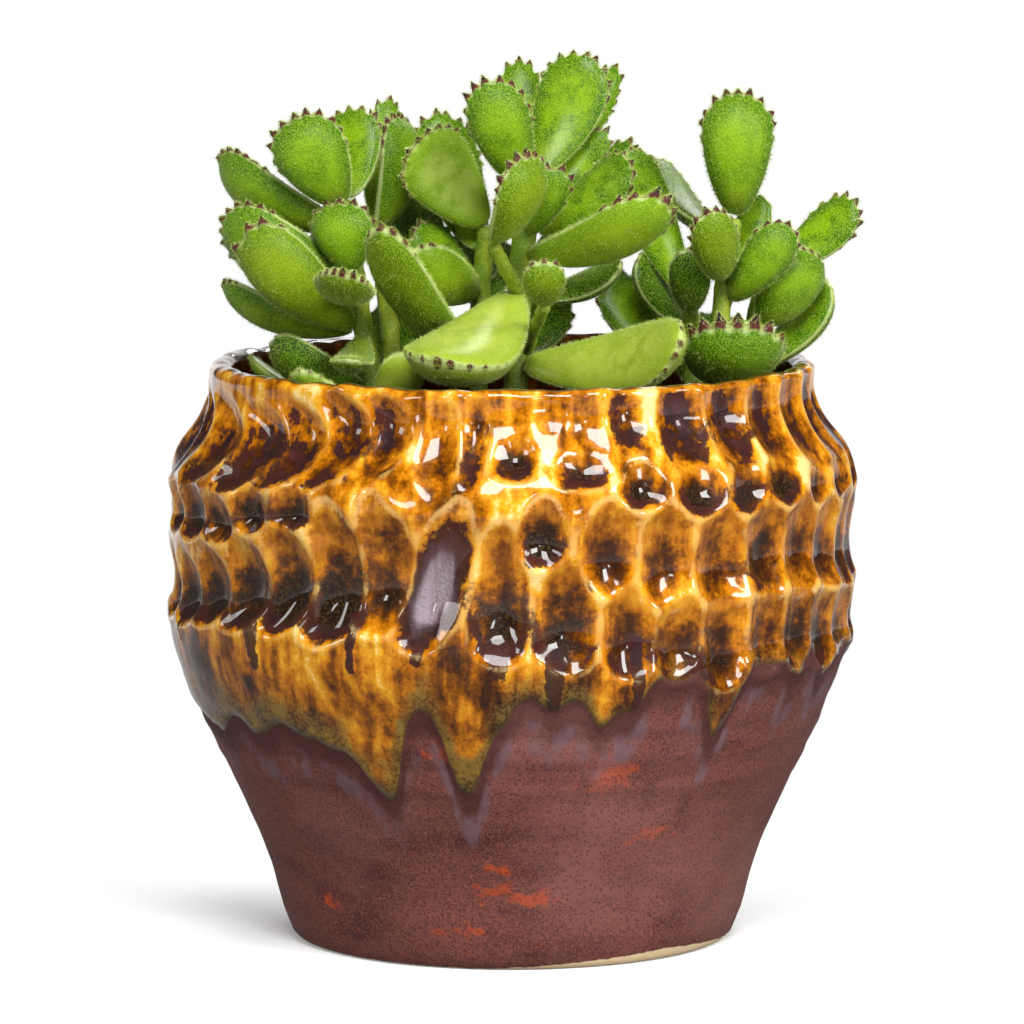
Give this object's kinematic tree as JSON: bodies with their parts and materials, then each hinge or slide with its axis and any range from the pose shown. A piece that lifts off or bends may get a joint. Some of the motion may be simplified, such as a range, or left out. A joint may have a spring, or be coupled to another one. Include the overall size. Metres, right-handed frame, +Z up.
{
  "type": "potted cotyledon",
  "caption": "Fuzzy bear's-paw cotyledon with thick toothed leaves, growing in soil in a round carved ceramic pot with an amber and brown glaze.",
  "frame": {"origin": "middle of the pot's foot, on the surface it stands on", "axes": "+Z up, -Y to the front, +X to the right seen from the front"},
  "size_m": [0.1408, 0.1402, 0.1788],
  "materials": {
    "glazed_pot": "glossy amber and dark brown glaze over a carved wall, satin purple brown below it",
    "potting_soil": "rough, damp, crumbly",
    "green_stem": "soft, finely hairy, yellow green",
    "fuzzy_leaf": "soft, velvety with short pale hairs, maroon tips on the teeth"
  },
  "bodies": {
    "root": {"pot": "glazed_pot", "soil": "potting_soil", "stem_left": "green_stem", "stem_left_rear": "green_stem", "stem_middle_rear": "green_stem", "stem_middle": "green_stem", "stem_right": "green_stem", "stem_right_inner": "green_stem", "stem_right_outer": "green_stem", "shoot_upper": "green_stem", "shoot_lower": "green_stem", "leaf_left_01": "fuzzy_leaf", "leaf_left_02": "fuzzy_leaf", "leaf_left_03": "fuzzy_leaf", "leaf_left_04": "fuzzy_leaf", "leaf_left_05": "fuzzy_leaf", "leaf_left_06": "fuzzy_leaf", "leaf_left_07": "fuzzy_leaf", "leaf_left_08": "fuzzy_leaf", "leaf_left_09": "fuzzy_leaf", "leaf_left_10": "fuzzy_leaf", "leaf_left_11": "fuzzy_leaf", "leaf_left_12": "fuzzy_leaf", "leaf_left_13": "fuzzy_leaf", "leaf_left_14": "fuzzy_leaf", "leaf_left_15": "fuzzy_leaf", "leaf_left_16": "fuzzy_leaf", "leaf_middle_01": "fuzzy_leaf", "leaf_middle_02": "fuzzy_leaf", "leaf_middle_03": "fuzzy_leaf", "leaf_middle_04": "fuzzy_leaf", "leaf_middle_05": "fuzzy_leaf", "leaf_middle_06": "fuzzy_leaf", "leaf_middle_07": "fuzzy_leaf", "leaf_middle_08": "fuzzy_leaf", "leaf_middle_09": "fuzzy_leaf", "leaf_middle_10": "fuzzy_leaf", "leaf_middle_11": "fuzzy_leaf", "leaf_middle_12": "fuzzy_leaf", "leaf_middle_13": "fuzzy_leaf", "leaf_middle_14": "fuzzy_leaf", "leaf_middle_15": "fuzzy_leaf", "leaf_middle_16": "fuzzy_leaf", "leaf_middle_17": "fuzzy_leaf", "leaf_middle_18": "fuzzy_leaf", "leaf_middle_19": "fuzzy_leaf", "leaf_right_01": "fuzzy_leaf", "leaf_right_02": "fuzzy_leaf", "leaf_right_03": "fuzzy_leaf", "leaf_right_04": "fuzzy_leaf", "leaf_right_05": "fuzzy_leaf", "leaf_right_06": "fuzzy_leaf", "leaf_right_07": "fuzzy_leaf", "leaf_right_08": "fuzzy_leaf", "leaf_right_09": "fuzzy_leaf", "leaf_right_10": "fuzzy_leaf", "leaf_right_11": "fuzzy_leaf", "leaf_right_12": "fuzzy_leaf", "leaf_right_13": "fuzzy_leaf", "leaf_right_14": "fuzzy_leaf"}
  },
  "joints": []
}
